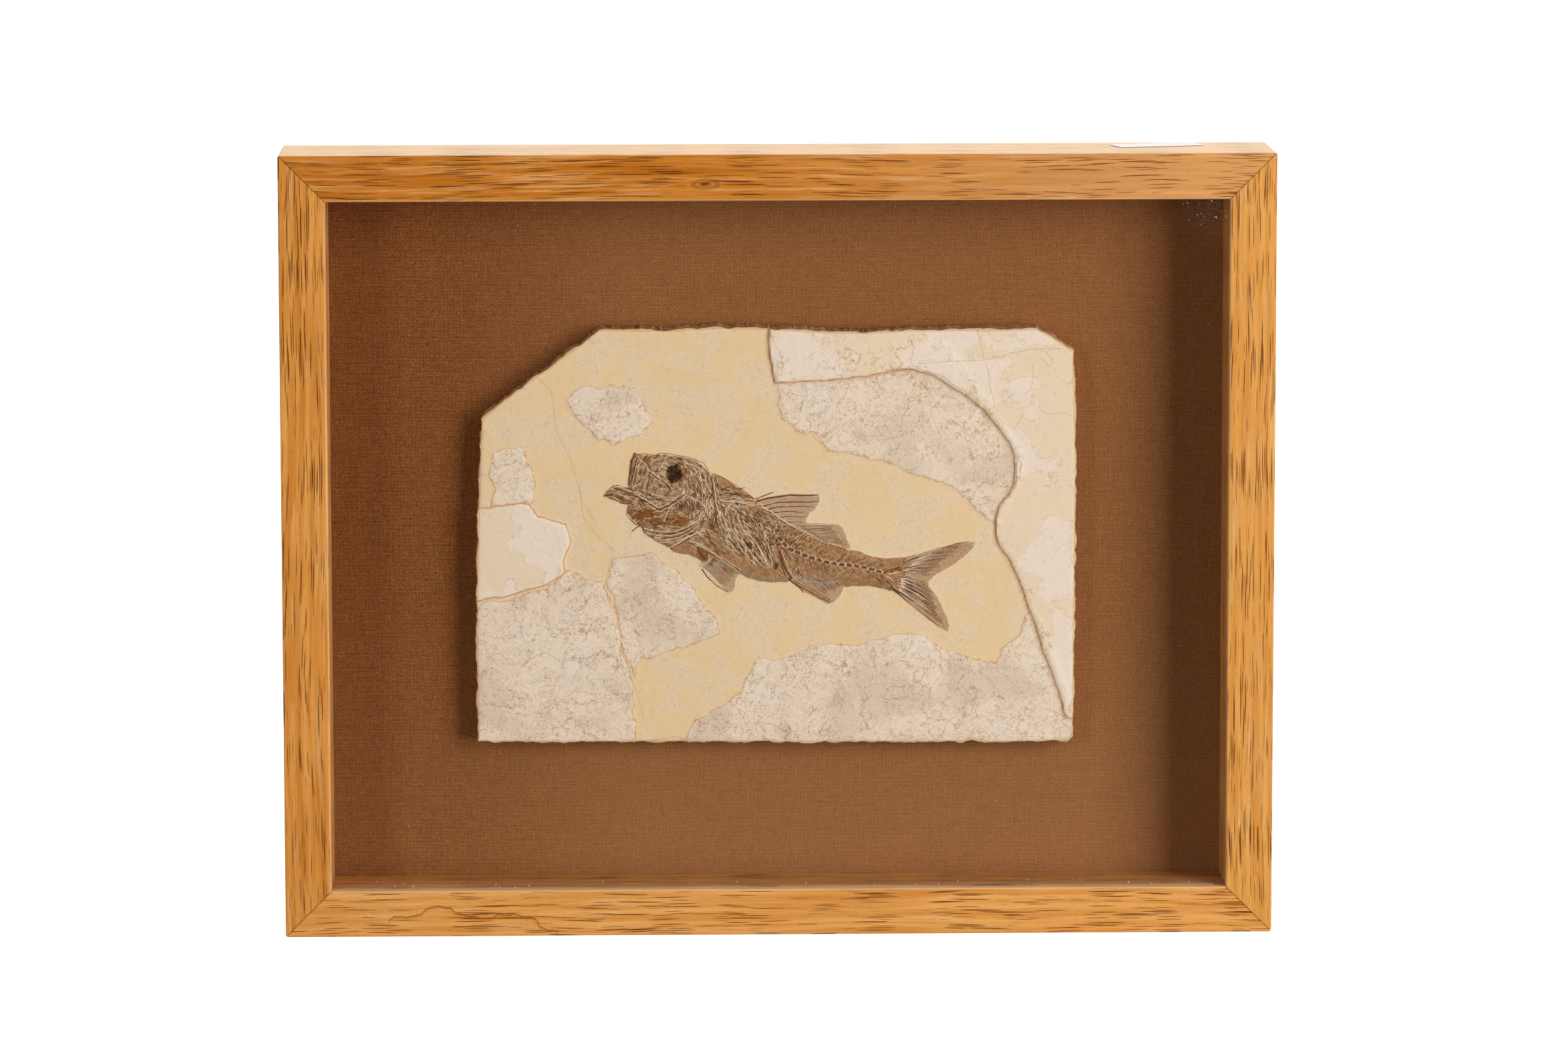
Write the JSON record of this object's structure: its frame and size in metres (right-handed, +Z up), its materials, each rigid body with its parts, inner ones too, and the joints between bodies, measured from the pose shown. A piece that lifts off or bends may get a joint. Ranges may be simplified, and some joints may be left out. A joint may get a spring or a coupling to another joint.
{
  "type": "framed fossil fish slab",
  "caption": "Fossil fish in a pale limestone slab, mounted on brown linen in a deep oak shadow-box frame behind glass, with a sawtooth hanger.",
  "frame": {"origin": "centre of the bounding box in X and Y, at the surface that the bottom rail stands on", "axes": "+X to the right across the frame, +Z up; the glass and the fish face -Y, the back faces +Y"},
  "size_m": [0.508, 0.065, 0.4034],
  "materials": {
    "oak": "light oak, satin",
    "spacer_oak": "oak strips inside the box, matt",
    "glass": "clear picture glass, a little dusty",
    "linen": "plain-woven brown linen",
    "board": "matt",
    "limestone": "split laminated limestone with brown fossil bone, matt",
    "hardboard": "pressed wood fibre, matt",
    "steel": "zinc plated",
    "label": "blank white paper"
  },
  "bodies": {
    "root": {"bottom_rail": "oak", "top_rail": "oak", "left_rail": "oak", "right_rail": "oak", "bottom_spacer": "spacer_oak", "top_spacer": "spacer_oak", "left_spacer": "spacer_oak", "right_spacer": "spacer_oak", "glass": "glass", "linen": "linen", "mount_board": "board", "fossil_slab": "limestone", "back_panel": "hardboard", "sawtooth_hanger": "steel", "hanger_nail_left": "steel", "hanger_nail_right": "steel", "paper_label": "label", "point_1": "steel", "point_2": "steel", "point_3": "steel", "point_4": "steel", "point_5": "steel", "point_6": "steel", "point_7": "steel", "point_8": "steel", "point_9": "steel", "point_10": "steel"}
  },
  "joints": []
}
